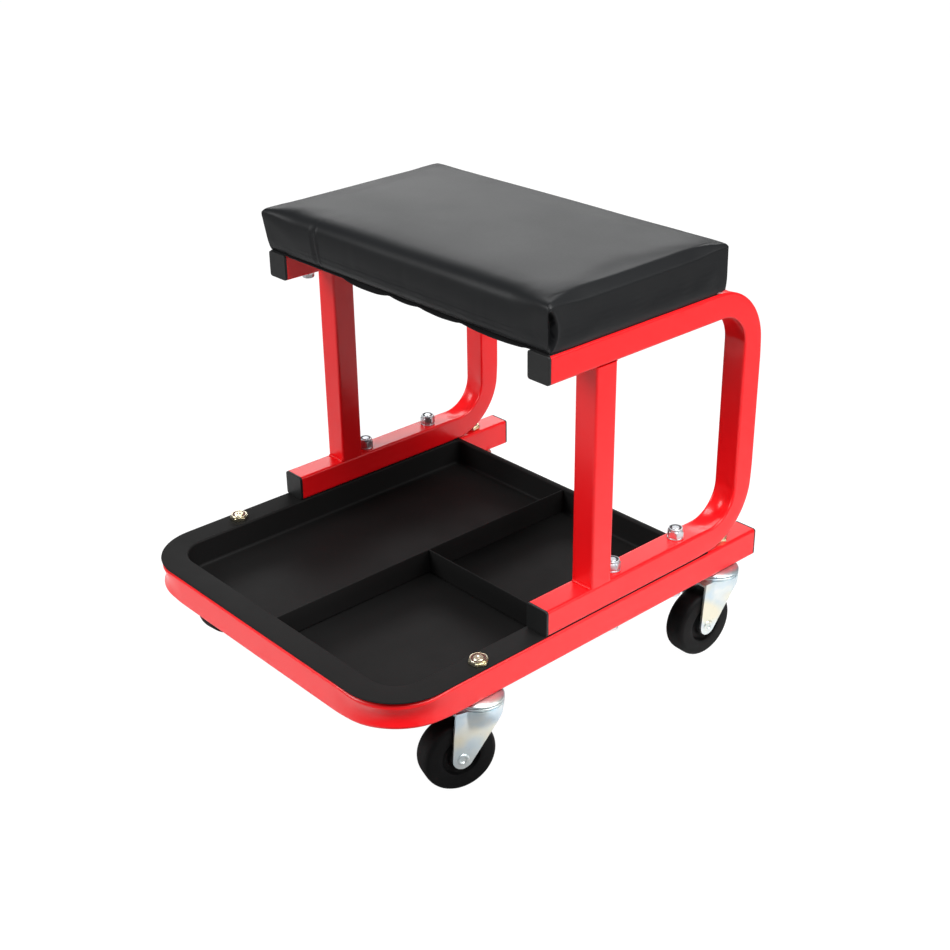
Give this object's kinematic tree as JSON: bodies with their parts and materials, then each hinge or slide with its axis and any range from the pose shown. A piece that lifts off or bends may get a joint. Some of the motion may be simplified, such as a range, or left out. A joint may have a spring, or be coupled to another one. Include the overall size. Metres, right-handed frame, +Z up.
{
  "type": "creeper seat",
  "caption": "Low rolling workshop seat: padded vinyl seat on bent tube arches, over a tube base with a divided steel tool tray and swivel castors.",
  "frame": {"origin": "on the floor, below the middle of the overall length and width", "axes": "+X to the right, +Y towards the back, away from the tray's rounded front, +Z up"},
  "size_m": [0.399, 0.464, 0.4243],
  "materials": {
    "red_paint": "gloss red powder coat",
    "tray_paint": "satin black powder coat",
    "plug_plastic": "moulded black plastic",
    "bright_zinc": "bright zinc plate",
    "yellow_zinc": "yellow passivated zinc",
    "castor_zinc": "blue passivated zinc",
    "ball_steel": "ground steel, greased",
    "wheel_black": "moulded black polymer",
    "vinyl": "satin black vinyl with a fine grain",
    "foam": "open-cell foam",
    "dust_cloth": "black non-woven cloth",
    "plywood": "raw plywood"
  },
  "bodies": {
    "root": {"base_frame": "red_paint", "arch_left": "red_paint", "arch_right": "red_paint", "post_left": "red_paint", "post_right": "red_paint", "base_plug_left": "plug_plastic", "base_plug_right": "plug_plastic", "plug_lower_left": "plug_plastic", "plug_lower_right": "plug_plastic", "plug_upper_left": "plug_plastic", "plug_upper_right": "plug_plastic", "tool_tray": "tray_paint", "long_divider": "tray_paint", "cross_divider": "tray_paint", "arch_bolts": "bright_zinc", "arch_washers": "bright_zinc", "arch_nuts": "bright_zinc", "seat_bolts": "bright_zinc", "seat_washers": "bright_zinc", "tee_nuts": "bright_zinc", "cloth_staples": "bright_zinc", "stem_nuts": "yellow_zinc", "seat_board": "plywood", "seat_foam": "foam", "seat_cover": "vinyl", "dust_cloth": "dust_cloth", "stem_fr": "yellow_zinc", "stem_fl": "yellow_zinc", "stem_rr": "yellow_zinc", "stem_rl": "yellow_zinc", "race_cup_fr": "castor_zinc", "race_cup_fl": "castor_zinc", "race_cup_rr": "castor_zinc", "race_cup_rl": "castor_zinc"},
    "fork_fr": {"fork_fr": "castor_zinc", "race_balls_fr": "ball_steel", "axle_fr": "castor_zinc", "axle_bush_fr": "ball_steel"},
    "wheel_fr": {"wheel_fr": "wheel_black"},
    "fork_fl": {"fork_fl": "castor_zinc", "race_balls_fl": "ball_steel", "axle_fl": "castor_zinc", "axle_bush_fl": "ball_steel"},
    "wheel_fl": {"wheel_fl": "wheel_black"},
    "fork_rr": {"fork_rr": "castor_zinc", "race_balls_rr": "ball_steel", "axle_rr": "castor_zinc", "axle_bush_rr": "ball_steel"},
    "wheel_rr": {"wheel_rr": "wheel_black"},
    "fork_rl": {"fork_rl": "castor_zinc", "race_balls_rl": "ball_steel", "axle_rl": "castor_zinc", "axle_bush_rl": "ball_steel"},
    "wheel_rl": {"wheel_rl": "wheel_black"}
  },
  "joints": [
    {"name": "swivel_fr", "type": "hinge", "parent": "root", "child": "fork_fr", "pos_m": [0.1775, -0.124, 0.0885], "axis": [0, 0, 1], "continuous": true},
    {"name": "roll_fr", "type": "hinge", "parent": "fork_fr", "child": "wheel_fr", "pos_m": [0.17098, -0.14533, 0.034], "axis": [0.9563, -0.2924, 0], "continuous": true},
    {"name": "swivel_fl", "type": "hinge", "parent": "root", "child": "fork_fl", "pos_m": [-0.1775, -0.124, 0.0885], "axis": [0, 0, 1], "continuous": true},
    {"name": "roll_fl", "type": "hinge", "parent": "fork_fl", "child": "wheel_fl", "pos_m": [-0.17517, -0.14618, 0.034], "axis": [0.9945, 0.1045, 0], "continuous": true},
    {"name": "swivel_rr", "type": "hinge", "parent": "root", "child": "fork_rr", "pos_m": [0.1775, 0.18942, 0.0885], "axis": [0, 0, 1], "continuous": true},
    {"name": "roll_rr", "type": "hinge", "parent": "fork_rr", "child": "wheel_rr", "pos_m": [0.17594, 0.16717, 0.034], "axis": [0.9976, -0.0698, 0], "continuous": true},
    {"name": "swivel_rl", "type": "hinge", "parent": "root", "child": "fork_rl", "pos_m": [-0.1775, 0.18942, 0.0885], "axis": [0, 0, 1], "continuous": true},
    {"name": "roll_rl", "type": "hinge", "parent": "fork_rl", "child": "wheel_rl", "pos_m": [-0.1806, 0.16734, 0.034], "axis": [0.9903, -0.1392, 0], "continuous": true}
  ]
}
